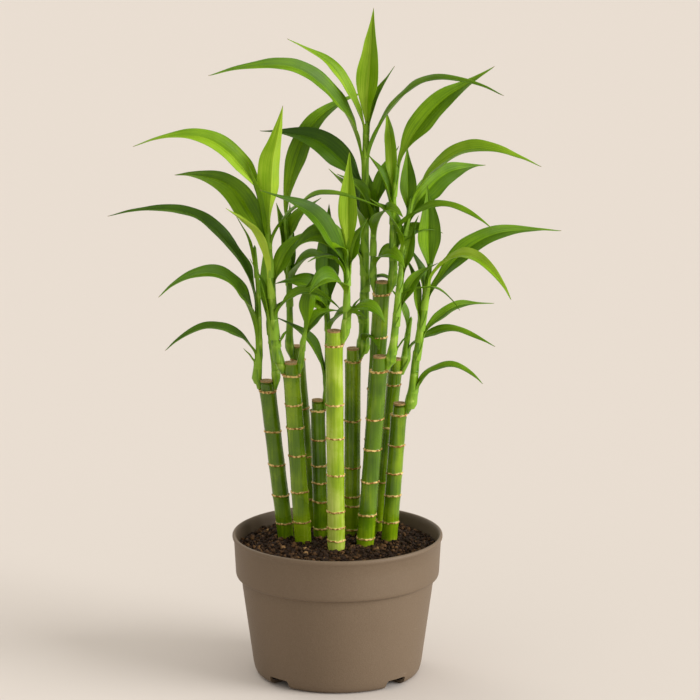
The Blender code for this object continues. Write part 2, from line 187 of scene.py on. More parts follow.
# How much the width varies, how far the margins wave up and down, how far the blade strays sideways,
# each with the length over which it does so
WIDTH_WAVE = (0.1, 24)
MARGIN_WAVE = (4.0, 19)
BLADE_SWAY = (3.2, 45)
FLICK_START = 0.4  # share of the length at which the tip starts to flatten
TIP_FLICK = 0.013  # how far the tip flattens out, as a share of the length
SHEATH = 15  # length of the leaf's foot that wraps its stem
SHEATH_SHARE = 0.18  # the most of a short leaf that its sheath takes
SHEATH_WRAP = 112  # how far round the stem each side of the sheath reaches
HUG_SHARE = 0.1  # share of the length over which it leaves the stem's direction
TURN_SHARE = 0.45  # share of the length over which each turn comes in
STEM_AHEAD = 12  # how far up the stem its direction is taken
LEAVES = {
    "shoot_1": (
        (322, 180, 196, 18, 81, -33, 1.2, -30, -20),
        (293, 214, 158, 22, 84, -55, 1.3, -45, 0),
        (279, 190, 110, 13, 76, -58, 0.9, -25, -25),
    ),
    "shoot_3": (
        (408, 190, 174, 22, 80, -38, 1.25, -55, 10),
        (376, 150, 142, 26, 79, -27, 1.2, -65, -20),
        (363, 228, 98, 22, 78, 24, 1.0, -20, -20),
        (408, -60, 124, 25, 86, 66, 1.0, 0, 0),
        (394, 235, 88, 10, 77, 62, 1.0, -10, 0),
        (382, -30, 154, 11, 84, -28, 0.8, 20, 0),
        (325, -20, 82, 14, 78, -55, 0.9, 30, 0),
    ),
    "shoot_4": (
        (400, 25, 168, 20, 88, -10, 1.5, 50, 0),
        (345, 85, 80, 15, 88, 80, 1.0, 0, 0),
    ),
    "shoot_6": (
        (330, 85, 98, 24, 88, 72, 1.0, 0, 0),
        (262, 190, 88, 14, 88, 15, 1.0, -45, 0),
    ),
    "shoot_7": (
        (388, 80, 96, 19, 88, 82, 1.0, 0, 0),
        (360, 205, 138, 25, 84, 12, 0.9, -60, 0),
    ),
    "shoot_8": (
        (446, 200, 216, 22, 85, -30, 1.1, -45, -20),
        (486, 182, 122, 15, 73, 13, 1.5, -35, -20),
        (495, 70, 110, 22, 88, 74, 1.0, 0, 0),
        (428, 168, 126, 25, 68, -12, 1.0, -60, 0),
        (452, -25, 192, 14, 77, -42, 1.3, 30, 30),
    ),
    "shoot_9": (
        (420, 30, 66, 15, 84, 50, 1.0, 40, 0),
    ),
    "shoot_10": (
        (455, 10, 138, 24, 76, 24, 0.7, 60, 20),
        (396, -20, 116, 13, 60, -50, 1.0, 20, 20),
        (438, 100, 88, 13, 80, 25, 1.2, -30, 0),
    ),
    "shoot_11": (
        (418, -20, 160, 20, 74, -38, 1.0, 35, 10),
        (402, 42, 122, 24, 64, -18, 1.0, 65, 10),
        (420, 95, 62, 16, 70, 76, 1.0, 0, 0),
        (335, 20, 60, 13, 80, 15, 1.0, 40, 0),
    ),
    "shoot_12": (
        (284, -15, 96, 12, 58, -38, 0.8, 30, 20),
    ),
    "shoot_13": (
        (331, 15, 162, 20, 67, -21, 1.0, 50, 10),
        (350, -45, 134, 15, 66, -70, 1.0, 30, 30),
        (304, 20, 84, 12, 62, -15, 0.8, 30, 0),
        (258, -10, 78, 12, 74, -60, 0.9, 25, 25),
        (366, 105, 82, 23, 88, 74, 2.0, 0, 0),
    ),
}
# Small leaves that no CAD node stands for, in the same form
SMALL_LEAVES = {
    "shoot_1": (
        (372, 205, 52, 8, 84, 55, 1.0, -10, 0),
        (282, 190, 18, 5, 60, 48, 1.0, 0, 0),
    ),
    "shoot_2": (
        (322, 100, 70, 16, 88, 70, 1.0, 0, 0),
        (310, -40, 46, 10, 84, 30, 1.0, 0, 0),
    ),
    "shoot_3": (
        (322, 185, 66, 8, 86, 55, 1.5, -20, 0),
        (306, -20, 18, 5, 62, 50, 1.0, 0, 0),
        (352, 20, 74, 18, 84, 20, 1.0, 40, 0),
    ),
    "shoot_4": (
        (362, 140, 64, 18, 88, 70, 1.0, 0, 0),
        (380, -10, 62, 22, 86, 30, 1.0, 40, 0),
        (344, -40, 72, 24, 84, -20, 1.0, 30, 0),
    ),
    "shoot_5": (
        (316, -60, 62, 18, 86, 60, 1.0, 0, 0),
        (308, 30, 48, 16, 80, -20, 1.0, 20, 0),
    ),
    "shoot_6": (
        (322, 165, 50, 24, 88, 10, 1.0, -50, 0),
        (326, 182, 64, 26, 82, -25, 1.0, -40, 0),
        (310, -20, 48, 20, 82, -40, 1.0, 20, 0),
    ),
    "shoot_7": (
        (374, 10, 54, 18, 88, 55, 1.0, 45, 0),
        (338, 20, 18, 5, 62, 50, 1.0, 0, 0),
        (368, 205, 52, 12, 88, -40, 1.0, 0, 0),
        (386, 192, 66, 28, 78, -70, 1.0, -45, 0),
        (352, 225, 60, 28, 76, -60, 1.0, -30, 0),
        (334, -25, 46, 20, 66, -75, 0.9, 25, 0),
    ),
    "shoot_8": (
        (492, 20, 66, 9, 82, 50, 1.0, 30, 0),
        (322, 190, 18, 5, 60, 48, 1.0, 0, 0),
        (298, -70, 44, 16, 70, -55, 0.8, 0, 0),
        (354, -20, 34, 10, 60, -60, 0.8, 0, 0),
        (398, 200, 74, 26, 84, 40, 1.0, -30, 0),
        (372, 190, 52, 20, 82, -30, 1.0, -30, 0),
    ),
    "shoot_9": (
        (400, 120, 66, 20, 88, 65, 1.0, -40, 0),
        (412, 200, 62, 20, 84, 20, 1.0, -40, 0),
        (396, -60, 70, 22, 84, -30, 1.0, 30, 0),
        (372, -40, 46, 20, 70, -70, 1.0, 30, 0),
    ),
    "shoot_10": (
        (425, 190, 60, 18, 84, 50, 1.0, -30, 0),
        (382, 10, 58, 18, 80, -40, 1.0, 30, 0),
    ),
    "shoot_11": (
        (345, 10, 70, 6, 50, -70, 0.8, 0, 0),
        (302, 0, 20, 5, 60, 45, 1.0, 0, 0),
        (365, 35, 60, 16, 86, 60, 1.0, 30, 0),
        (388, 200, 62, 20, 84, 30, 1.0, -30, 0),
    ),
    "shoot_12": ((308, 150, 44, 12, 86, 40, 1.0, 0, 0),),
    "shoot_13": (
        (318, 170, 72, 10, 88, 50, 2.0, -40, -20),
        (262, 0, 20, 5, 62, 48, 1.0, 0, 0),
        (345, 160, 50, 16, 84, 60, 1.0, 0, 0),
    ),
}
# How pale each leaf is, 0 to 1, partly from its youth and partly painted shade, a low dark tone on leaves
# that lie in shade; the rest are ordinary
ORDINARY = 0.38
LEAF_TONES_AND_SHADE = {
    "leaf_1_1": 0.12, "leaf_1_2": 0.3, "leaf_1_3": 0.22, "leaf_3_1": 0.62, "leaf_3_2": 0.4, "leaf_3_3": 0.85,
    "leaf_3_4": 0.7, "leaf_6_1": 0.15, "leaf_6_2": 0.2, "leaf_7_1": 0.62, "leaf_7_2": 0.18, "leaf_8_1": 0.36,
    "leaf_8_2": 0.62, "leaf_8_3": 0.6, "leaf_8_4": 0.06, "leaf_8_5": 0.3, "leaf_9_1": 0.3, "leaf_10_1": 0.42,
    "leaf_10_3": 0.6, "leaf_11_1": 0.5, "leaf_11_2": 0.34, "leaf_13_1": 0.32, "leaf_13_2": 0.72,
}

chance = random.Random(7)


def polar(bearing, reach=1.0):
    turn = math.radians(bearing)
    return Vector((reach * math.cos(turn), reach * math.sin(turn), 0))


def smooth_step(share):
    share = min(max(share, 0), 1)
    return share * share * (3 - 2 * share)


def wobble(point, size, seed=0.0):
    """Smooth noise from -1 to 1 whose bumps are about size across."""
    return noise.noise(Vector(point) / size + Vector((seed, seed * 1.7, seed * 0.6)))


# Materials

class Value:
    """A shader value that takes Python's own operators; each one adds its Math node."""

    def __init__(self, paint, socket):
        self.paint = paint
        self.socket = socket

    def out(self, key):
        return Value(self.paint, self.socket.node.outputs[key])

    def math(self, operation, *others):
        sockets = dict(enumerate((self,) + others))
        return self.paint.node("ShaderNodeMath", {"operation": operation}, sockets)

    def __add__(self, other):
        return self.math("ADD", other)

    def __sub__(self, other):
        return self.math("SUBTRACT", other)

    def __rsub__(self, other):
        return self.paint.node("ShaderNodeMath", {"operation": "SUBTRACT"}, {0: other, 1: self})

    def __mul__(self, other):
        return self.math("MULTIPLY", other)

    def __abs__(self):
        return self.math("ABSOLUTE")

    __radd__ = __add__
    __rmul__ = __mul__

    def rise(self, low, high):
        """0 below low, 1 above high, and a smooth rise between them; a high under low falls instead."""
        sockets = {"Value": self, "From Min": low, "From Max": high}
        return self.paint.node("ShaderNodeMapRange", {"interpolation_type": "SMOOTHSTEP"}, sockets)


class Paint:
    """The nodes of one material."""

    def __init__(self, name, settings):
        self.material = bpy.data.materials.new(name)
        self.material.use_nodes = True
        self.tree = self.material.node_tree
        self.shader = self.tree.nodes["Principled BSDF"]
        for socket, value in settings.items():
            self.feed(self.shader.inputs[socket], value)

    def feed(self, socket, value):
        if isinstance(value, Value):
            self.tree.links.new(value.socket, socket)
        elif socket.type == "RGBA":
            socket.default_value = (*value, 1)
        else:
            socket.default_value = value

    def node(self, kind, settings, sockets):
        made = self.tree.nodes.new(kind)
        for setting, value in settings.items():
            if setting == "stops":
                self.set_stops(made.color_ramp.elements, value)
            else:
                setattr(made, setting, value)
        for socket, value in sockets.items():
            self.feed(made.inputs[socket], value)
        return Value(self, made.outputs[0])

    def set_stops(self, elements, stops):
        while len(elements) < len(stops):
            elements.new(1)
        for element, (place, colour) in zip(elements, stops):
            element.position = place
            element.color = (*colour, 1)

    def ramp(self, factor, *stops):
        return self.node("ShaderNodeValToRGB", {"stops": stops}, {0: factor})

    def mix(self, factor, low, high):
        return self.node("ShaderNodeMix", {"data_type": "RGBA"}, {0: factor, 6: low, 7: high}).out(2)

    def place(self, output="Object", scale=(1, 1, 1)):
        spot = self.node("ShaderNodeTexCoord", {}, {}).out(output)
        return self.node("ShaderNodeMapping", {}, {"Vector": spot, "Scale": scale})

    def noise(self, where, scale, detail=2.0, roughness=0.5):
        sockets = {"Vector": where, "Scale": scale, "Detail": detail, "Roughness": roughness}
        return self.node("ShaderNodeTexNoise", {}, sockets)

    def attribute(self, name):
        return self.node("ShaderNodeAttribute", {"attribute_name": name}, {}).out("Fac")

    def bump(self, height, distance, strength=1.0):
        sockets = {"Height": height, "Distance": distance, "Strength": strength}
        self.feed(self.shader.inputs["Normal"], self.node("ShaderNodeBump", {}, sockets))

    def set(self, socket, value):
        self.feed(self.shader.inputs[socket], value)


def leaf_paint():
    """Blade with a pale rib and long fine veins, paler at its foot, with a dry tip; one half is painted
    lighter than the other as painted light and shade on its fold, and its tone is partly painted shade.
    """
    paint = Paint("leaf", {"Specular IOR Level": 0.2})
    uv = paint.node("ShaderNodeTexCoord", {}, {}).out("UV")
    parts = paint.node("ShaderNodeSeparateXYZ", {}, {0: uv})
    across = abs(parts.out(0) - 0.5) * 2
    along = parts.out(1)
    veins = paint.noise(paint.place("UV", (46, 1.6, 1)), 1.0, 2.0)
    fine_veins = paint.noise(paint.place("UV", (130, 3.0, 1)), 1.0, 1.0)
    patches = paint.noise(paint.place(), 38.0, 2.0)
    rib = across.rise(0.16, 0.02)
    # The tone is partly painted shade: leaves that lie in shade get a low, darker tone.
    tone = paint.attribute("tone")
    shade = tone + (veins - 0.5) * 0.95 + (patches - 0.5) * 0.45 + rib * 0.08 - 0.06
    # Painted light and shade: one half of the blade is painted lighter than the other so that its fold looks
    # lit on one side and shaded on the other; the 0.06 taken off on the line above balances it.
    shade = shade + along.rise(0.75, 0.25) * 0.1 + parts.out(0).rise(0.47, 0.53) * 0.14
    green = paint.ramp(
        shade, (0.0, (0.028, 0.08, 0.0002)), (0.35, (0.08, 0.18, 0.0003)),
        (0.62, (0.18, 0.34, 0.001)), (1.0, (0.4, 0.57, 0.04)),
    )
    foot = along.rise(0.3, 0.04)
    green = paint.mix(foot * 0.7, green, (0.26, 0.46, 0.04))
    tip = (along + (veins - 0.5) * 0.03).rise(0.975, 0.995)
    green = paint.mix(tip * 0.8, green, (0.23, 0.17, 0.05))
    paint.set("Base Color", green)
    paint.set("Roughness", 0.42 + (patches - 0.5) * 0.2 + (fine_veins - 0.5) * 0.12)
    paint.bump(veins * 0.7 + fine_veins * 0.4 - rib * 0.5, 0.0004, 0.7)
    return paint.material


def stem_paint():
    """Green sheaths with lengthwise streaks, paler and papery at their edges and at the foot."""
    paint = Paint("stem", {"Specular IOR Level": 0.4})
    streaks = paint.noise(paint.place("Object", (1, 1, 0.07)), 480.0, 3.0)
    patches = paint.noise(paint.place(), 60.0, 2.0)
    lap = paint.attribute("lap")
    husk = paint.attribute("husk")
    shade = lap * 0.4 + (streaks - 0.5) * 1.5 + (patches - 0.5) * 0.8 + 0.26
    green = paint.ramp(
        shade, (0.0, (0.065, 0.17, 0.0005)), (0.45, (0.19, 0.36, 0.004)), (1.0, (0.44, 0.6, 0.1)),
    )
    papery = (husk + (streaks - 0.5) * 0.9).rise(0.5, 0.64)
    tan = paint.mix(patches.rise(0.35, 0.65), (0.34, 0.2, 0.05), (0.6, 0.46, 0.2))
    paint.set("Base Color", paint.mix(papery, green, tan))
    paint.set("Roughness", 0.4 + papery * 0.4 + (patches - 0.5) * 0.15)
    paint.bump(streaks, 0.0003, 0.5)
    return paint.material


def cane_paint():
    """Glossy green skin streaked lengthwise, with dry tan rings, a yellowed foot and a cut top."""
    paint = Paint("cane", {"Specular IOR Level": 0.4})
    streaks = paint.noise(paint.place("Object", (1, 1, 0.05)), 520.0, 3.0, 0.6)
    hairs = paint.noise(paint.place("Object", (1, 1, 0.03)), 2200.0, 2.0)
    patches = paint.noise(paint.place(), 45.0, 3.0)
    flecks = paint.noise(paint.place(), 1400.0, 3.0, 0.7)
    tone = paint.attribute("tone")
    ring = paint.attribute("ring")
    foot = paint.attribute("foot")
    cut = paint.attribute("cut")
    dry = paint.attribute("dry")
    cloud = paint.noise(paint.place("Object", (1, 1, 0.35)), 75.0, 2.0)
    shade = tone * 0.5 + 0.18 + (streaks - 0.5) * 0.42 + (hairs - 0.5) * 0.12
    shade = shade + (patches - 0.5) * 0.5 + (cloud - 0.5) * 0.6
    green = paint.ramp(
        shade, (0.0, (0.028, 0.075, 0.0001)), (0.35, (0.09, 0.18, 0.0004)),
        (0.65, (0.24, 0.37, 0.004)), (1.0, (0.52, 0.62, 0.12)),
    )
    spots = paint.noise(paint.place("Object", (1, 1, 0.6)), 420.0, 2.0)
    yellow = paint.mix(spots.rise(0.5, 0.64), (0.36, 0.33, 0.04), (0.28, 0.12, 0.015))
    green = paint.mix((foot + (streaks - 0.5) * 0.8).rise(0.35, 0.9) * 0.8, green, yellow)
    papery = paint.mix(spots.rise(0.4, 0.6), (0.24, 0.09, 0.008), (0.78, 0.55, 0.2))
    edge = (ring + (spots - 0.5) * 1.1).rise(0.5, 0.72)
    colour = paint.mix(edge, green, papery)
    bark = paint.mix(flecks.rise(0.3, 0.6), (0.1, 0.045, 0.01), (0.42, 0.26, 0.09))
    colour = paint.mix((dry + (spots - 0.5) * 0.8).rise(0.4, 0.6), colour, bark)
    pith = paint.mix(flecks.rise(0.4, 0.62), (0.2, 0.1, 0.03), (0.58, 0.4, 0.19))
    colour = paint.mix(cut, colour, pith)
    paint.set("Base Color", colour)
    dull = edge.math("MAXIMUM", cut).math("MAXIMUM", dry)
    paint.set("Roughness", 0.26 + dull * 0.5 + (patches - 0.5) * 0.2)
    paint.bump(streaks * 0.6 + flecks * dull, 0.0005, 0.6)
    return paint.material


def pot_paint():
    """Taupe moulded plastic with a fine grain, faint scuffs and a cloudy sheen, and painted shade darkening
    its inner wall.
    """
    paint = Paint("pot_plastic", {"Specular IOR Level": 0.35})
    grain = paint.noise(paint.place(), 800.0, 4.0, 0.75)
    cloud = paint.noise(paint.place("Object", (1, 1, 0.7)), 14.0, 3.0)
    scuffs = paint.noise(paint.place("Object", (1, 1, 4)), 60.0, 4.0, 0.7)
    inside = paint.attribute("inside")
    shade = 0.5 + (cloud - 0.5) * 0.5 + (grain - 0.5) * 1.1
    colour = paint.ramp(shade, (0.1, (0.125, 0.086, 0.052)), (0.9, (0.188, 0.135, 0.088)))
    colour = paint.mix(scuffs.rise(0.66, 0.8) * 0.25, colour, (0.36, 0.29, 0.23))
    # Painted shade: the inner wall above the soil is darkened towards a darker copy of the same plastic.
    colour = paint.mix(inside * 0.6, colour, (0.1, 0.068, 0.045))
    paint.set("Base Color", colour)
    paint.set("Roughness", 0.56 + (cloud - 0.5) * 0.2 + (grain - 0.5) * 0.15)
    paint.bump(grain, 0.0004, 0.5)
    return paint.material


def soil_paint():
    """Dark damp earth; each crumb has its own tone."""
    paint = Paint("soil", {"Specular IOR Level": 0.25})
    grain = paint.noise(paint.place(), 900.0, 4.0, 0.7)
    tone = paint.attribute("tone")
    colour = paint.ramp(
        tone * 0.8 + (grain - 0.5) * 0.8 + 0.1, (0.0, (0.008, 0.003, 0.001)), (0.45, (0.045, 0.02, 0.006)),
        (0.8, (0.16, 0.08, 0.028)), (1.0, (0.34, 0.2, 0.08)),
    )
    paint.set("Base Color", colour)
    paint.set("Roughness", 0.8 + (grain - 0.5) * 0.3)
    paint.bump(grain, 0.0008, 0.8)
    return paint.material


def floor_paint():
    paint = Paint("floor", {"Base Color": FLOOR_COLOUR, "Roughness": 0.9, "Specular IOR Level": 0.1})
    return paint.material


# Shapes

def finish_piece(mesh, name, paint, stands_for=()):
    """Turn a bmesh in metres into a named piece that rides with the plant."""
    bmesh.ops.remove_doubles(mesh, verts=mesh.verts, dist=MERGE)
    bmesh.ops.recalc_face_normals(mesh, faces=mesh.faces)
    data = bpy.data.meshes.new(name)
    mesh.to_mesh(data)
    mesh.free()
    data.polygons.foreach_set("use_smooth", [True] * len(data.polygons))
    data.materials.append(paint)
    piece = bpy.data.objects.new(name, data)
    bpy.context.collection.objects.link(piece)
    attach(piece, "root")
    if stands_for:
        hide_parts(*stands_for)
    return piece


def grid(across, along, place, layers=()):
    """Shape a grid in place: place(u, v) gives a point in millimetres and one value for each layer."""
    mesh = bmesh.new()
    mesh.loops.layers.uv.new("UVMap")
    bmesh.ops.create_grid(mesh, x_segments=across, y_segments=along, size=0.5, calc_uvs=True)
    stores = [mesh.verts.layers.float.new(layer) for layer in layers]
    for vert in mesh.verts:
        point, *values = place(vert.co.x + 0.5, vert.co.y + 0.5)
        for store, value in zip(stores, values):
            vert[store] = value
        vert.co = point * MM
    return mesh


def tube(rows, sides, around, layers=()):
    """A closed tube: rows hold a centre, a radius and layer values; around(row, turn) shifts a point."""
    last = len(rows) - 1

    def place(u, v):
        row = rows[round(v * last)]
        turn = (u % 1) * math.tau
        shift, swell = around(row, turn)
        out = Vector((math.cos(turn), math.sin(turn), 0))
        return (row[0] + out * row[1] * swell + UP * shift, *row[2:])

    return grid(sides, last, place, layers)


def curve_at(points, place):
    """Point of a smooth curve through points, counted along them from 0."""
    i = min(max(int(place), 0), len(points) - 2)
    t = place - i
    a, b, c, d = (points[min(max(i + k, 0), len(points) - 1)] for k in (-1, 0, 1, 2))
    straight = 2 * b + (c - a) * t
    bent = (2 * a - 5 * b + 4 * c - d) * t * t
    swung = (3 * b - a - 3 * c + d) * t ** 3
    return 0.5 * (straight + bent + swung)


def build_pot(paint):
    mesh = bmesh.new()
    # Marks the inner wall, which the pot's paint darkens as painted shade.
    inside = mesh.verts.layers.float.new("inside")
    outline = POT_OUTSIDE + POT_INSIDE
    points = [mesh.verts.new((radius * MM, 0, height * MM)) for radius, height in outline]
    for point in points[len(POT_OUTSIDE) + 1:]:
        point[inside] = 1
    edges = [mesh.edges.new(pair) for pair in zip(points, points[1:])]
    bmesh.ops.spin(
        mesh, geom=points + edges, axis=(0, 0, 1), cent=(0, 0, 0),
        steps=POT_SIDES, angle=math.tau, use_merge=True,
    )
    pot = finish_piece(mesh, "nursery_pot", paint, ("pot",))
    for bearing in CHANNEL_BEARINGS:
        cut_channel(pot, bearing)
    data = bpy.data.meshes.new_from_object(pot.evaluated_get(bpy.context.evaluated_depsgraph_get()))
    for cutter in [modifier.object for modifier in pot.modifiers]:
        bpy.data.objects.remove(cutter, do_unlink=True)
    pot.modifiers.clear()
    pot.data = data
    data.set_sharp_from_angle(angle=math.radians(POT_SHARP))
    return pot


def cut_channel(pot, bearing):
    """Cut one drainage channel across the pot's foot, rounded along its upper edges."""
    mesh = bmesh.new()
    bmesh.ops.create_cube(mesh, size=1)
    long = CHANNEL_END - CHANNEL_START
    block = Vector((long, 2 * CHANNEL_HALF_WIDTH, 2 * CHANNEL_HEIGHT))
    bmesh.ops.scale(mesh, vec=block, verts=mesh.verts)
    edges = [edge for edge in mesh.edges if all(vert.co.z > 0 for vert in edge.verts)]
    lengthwise = [edge for edge in edges if abs(edge.verts[0].co.x - edge.verts[1].co.x) > 1]
    bmesh.ops.bevel(
        mesh, geom=lengthwise, offset=CHANNEL_EDGE, offset_type="OFFSET", segments=CHANNEL_EDGE_STEPS,
        profile=0.5, affect="EDGES", material=-1,
    )
    bmesh.ops.translate(mesh, vec=Vector((CHANNEL_START + long / 2, 0, 0)), verts=mesh.verts)
    turn = Matrix.Rotation(math.radians(bearing), 3, "Z")
    bmesh.ops.rotate(mesh, cent=(0, 0, 0), matrix=turn, verts=mesh.verts)
    bmesh.ops.scale(mesh, vec=Vector((MM, MM, MM)), verts=mesh.verts)
    data = bpy.data.meshes.new("channel")
    mesh.to_mesh(data)
    mesh.free()
    cutter = bpy.data.objects.new("channel", data)
    bpy.context.collection.objects.link(cutter)
    boolean = pot.modifiers.new("channel", "BOOLEAN")
    boolean.operation = "DIFFERENCE"
    boolean.solver = "EXACT"
    boolean.object = cutter
    bpy.context.view_layer.update()


def soil_height(reach):
    """Height of the soil's smooth top at a distance from the middle."""
    for (far, low), (near, high) in zip(SOIL_TOP, SOIL_TOP[1:]):
        if reach >= near:
            return low + (high - low) * min((far - reach) / (far - near), 1)
    return SOIL_TOP[-1][1]


def soil_point(x, y):
    reach = math.hypot(x, y)
    bumps = LUMPS[0] * wobble((x, y, 0), LUMPS[1]) + CLODS[0] * wobble((x, y, 3), CLODS[1])
    return Vector((x, y, soil_height(reach) - SOIL_WALL_GAP + bumps * SOIL_ROUGHNESS))


def build_soil(paint):
    """The bed of earth: a domed top worked uneven, closed underneath."""
    radius = SOIL_TOP[0][0] - SOIL_WALL_GAP

    def place(u, v):
        turn = (u % 1) * math.tau
        if v > SOIL_SIDE_SHARE:
            return Vector((0, 0, SOIL_BOTTOM)), 0.2
        if v > SOIL_TOP_SHARE:
            return polar(math.degrees(turn), radius) + UP * SOIL_BOTTOM, 0.2
        reach = radius * v / SOIL_TOP_SHARE
        x, y = reach * math.cos(turn), reach * math.sin(turn)
        return soil_point(x, y), 0.25 + 0.2 * wobble((x, y, 0), 2.5)

    mesh = grid(SOIL_SIDES, SOIL_RINGS, place, ("tone",))
    return finish_piece(mesh, "earth", paint, ("soil",))


def build_crumbs(heap, paint):
    """Loose crumbs lying on one quarter of the earth, clear of the canes."""
    mesh = bmesh.new()
    tone = mesh.verts.layers.float.new("tone")
    for _ in range(CRUMBS):
        spot = polar((heap + chance.random()) * 360 / HEAPS, CRUMB_REACH * math.sqrt(chance.random()))
        if any((spot - foot).length < radius + CRUMB_CANE_GAP for foot, radius in CANE_FEET):
            continue
        size = CRUMB_RADIUS + CRUMB_SPREAD * chance.random() ** 2.6
        shade = chance.random() ** 2 * 0.75 + (0.5 if chance.random() < PALE_CRUMBS else 0)
        place = soil_point(spot.x, spot.y) + UP * (size * 0.35 + CRUMB_HEAPING * chance.random() ** 2)
        turn = Matrix.Rotation(chance.random() * math.tau, 3, "Z")
        turn = turn @ Matrix.Rotation(chance.random() * 3, 3, "X")
        stretch = Vector((1, 0.65 + 0.5 * chance.random(), 0.6 + 0.4 * chance.random()))
        for vert in bmesh.ops.create_icosphere(mesh, subdivisions=1, radius=size * MM)["verts"]:
            lump = vert.co * (0.55 + 0.85 * chance.random()) * stretch
            vert.co = turn @ lump + place * MM
            vert[tone] = shade
    return finish_piece(mesh, f"crumbs_{heap + 1}", paint)


def cane_centre(name, height):
    foot_x, foot_y, top_x, top_y, top = CANES[name][:5]
    share = (height - SOIL_LEVEL) / (top - SOIL_LEVEL)
    return Vector((foot_x + (top_x - foot_x) * share, foot_y + (top_y - foot_y) * share, height))


CANE_FEET = [(Vector((cane[0], cane[1], 0)), cane[5]) for cane in CANES.values()]


def build_cane(name, paint):
    """A cane: ringed green lengths, then a thinner stub, cut square above the last ring."""
    top, radius, joints = CANES[name][4:]
    seed = 3.1 * int(name.removeprefix("cane_"))
    tone = CANE_TONES.get(name, ORDINARY_CANE)
    stub = radius * STUB_SHARE
    rows = []

    def add(height, out, ring=0.0, dry=0.0, cut=0.0):
        foot = 1 - smooth_step((height - SOIL_LEVEL + 4) / 10)
        ripe = RIPE_TONE * (1 - smooth_step((height - SOIL_LEVEL) / RIPE_HEIGHT))
        rows.append((cane_centre(name, height), out, ring, dry, cut, foot, tone + ripe))

    add(CANE_START, 0)
    add(CANE_START, radius)
    below = CANE_START
    for joint in joints:
        steps = max(int((joint - below) / CANE_STEP), 1)
        for k in range(1, steps):
            share = k / steps
            add(below + (joint - below) * share, radius * (1 - CANE_WAIST * math.sin(math.pi * share)))
        for shift, lip, ring in RING_SHAPE:
            last = joint == joints[-1] and shift > STUB_START
            add(joint + shift, (stub if last else radius) + lip * JOINT_LIP, ring)
        below = joint + RING_REACH
    for share in (0.25, 0.5, 0.75):
        add(below + (top - below) * share, stub * (1 - 0.03 * share))
    for drop, dry in CUT_EDGE:
        add(top - drop, stub * 0.98, 0, dry)
    for share, drop in CUT_FACE:
        add(top - drop, stub * share, 0, 0.8, min(1, (1 - share) * 9))

    def around(row, turn):
        height = row[0].z
        spot = Vector((math.cos(turn), math.sin(turn), 0))
        lean = 0.9 * wobble(spot + UP * round(height / 12), 1.3, seed)
        ragged = 1.3 * wobble(spot * 4 + UP * height * 0.05, 1.0, seed)
        swell = 1 + 0.018 * wobble(spot * 1.5 + UP * height / 40, 1.0, seed)
        return (lean + ragged) * row[2], swell + row[2] * 0.05 * wobble(spot * 7, 1.0, seed + height)

    mesh = tube(rows, CANE_SIDES, around, ("ring", "dry", "cut", "foot", "tone"))
    return finish_piece(mesh, f"{name}_stalk", paint, (name,))


def shoot_path(name):
    """Centre points and radii of a shoot's stem, from its foot on the joint to its tip."""
    cane, bearing, radius, tip_radius, points = SHOOTS[name]
    ledge = CANES[cane][6][-1] + JOINT_HALF_HEIGHT + GAP
    stub = CANES[cane][5] * STUB_SHARE
    foot_radius = radius * FOOT_SHARE
    foot = cane_centre(cane, ledge) + polar(bearing, stub + GAP + foot_radius)
    knee = cane_centre(cane, ledge + KNEE_RISE) + polar(bearing, stub + 2 * GAP + radius)
    path = [foot, knee] + [Vector(point) for point in points]
    rise = path[-1].z - knee.z
    radii = [foot_radius]
    for point in path[1:]:
        radii.append(radius + (tip_radius - radius) * (point.z - knee.z) / rise)
    return path, radii


def stem_at(name, height):
    """Centre and radius of a shoot's stem at a height."""
    path, radii = shoot_path(name)
    for i in range(len(path) - 1):
        if height <= path[i + 1].z or i == len(path) - 2:
            share = (height - path[i].z) / (path[i + 1].z - path[i].z)
            return path[i].lerp(path[i + 1], share), radii[i] + (radii[i + 1] - radii[i]) * min(share, 1)


def build_shoot(name, paint):
    """A stem of overlapping sheaths, each one a little wider at its upper edge."""
    path, radii = shoot_path(name)
    seed = 1.9 * int(name.removeprefix("shoot_"))
    long = path[-1].z - path[0].z
    steps = int(long / SHOOT_STEP)
    bearing = SHOOTS[name][1]
    foot = path[0] - UP * 0.6 - polar(bearing, radii[0] * 0.7)
    rows = [(foot, 0, 0, 0.9), (foot + UP * 0.1, radii[0] * 1.1, 0, 0.9)]
    for k in range(steps + 1):
        height = path[0].z + long * k / steps
        centre, radius = stem_at(name, height)
        rise = height - path[0].z
        radius *= 1 + (FOOT_SWELL - 1) * math.sin(math.pi * min(rise / FOOT_TAPER, 1))
        centre = centre - polar(bearing, radii[0] * 0.7 * (1 - smooth_step(rise / FOOT_TAPER)))
        lap = ((height + seed * 5) / LAP_SPACING) % 1
        husk = 0.55 * (1 - smooth_step(rise / 5)) + 0.32 * lap ** 8
        rows.append((centre, radius * (0.98 + LAP_SWELL * lap ** 4), lap ** 4, husk))
    tip = path[-1] + (path[-1] - path[-2]).normalized() * radii[-1] * 2
    rows.append((path[-1].lerp(tip, 0.5), radii[-1] * 0.6, 0, 0))
    rows.append((tip, 0, 0, 0))

    def around(row, turn):
        spot = Vector((math.cos(turn), math.sin(turn), 0))
        slant = LAP_SLANT * row[2] * math.sin(turn + row[0].z / LAP_SPACING * 2.6)
        return slant, 1 + 0.05 * wobble(spot + UP * row[0].z / 15, 1.0, seed)

    mesh = tube(rows, SHOOT_SIDES, around, ("lap", "husk"))
    return finish_piece(mesh, f"{name}_stem", paint, (name,))


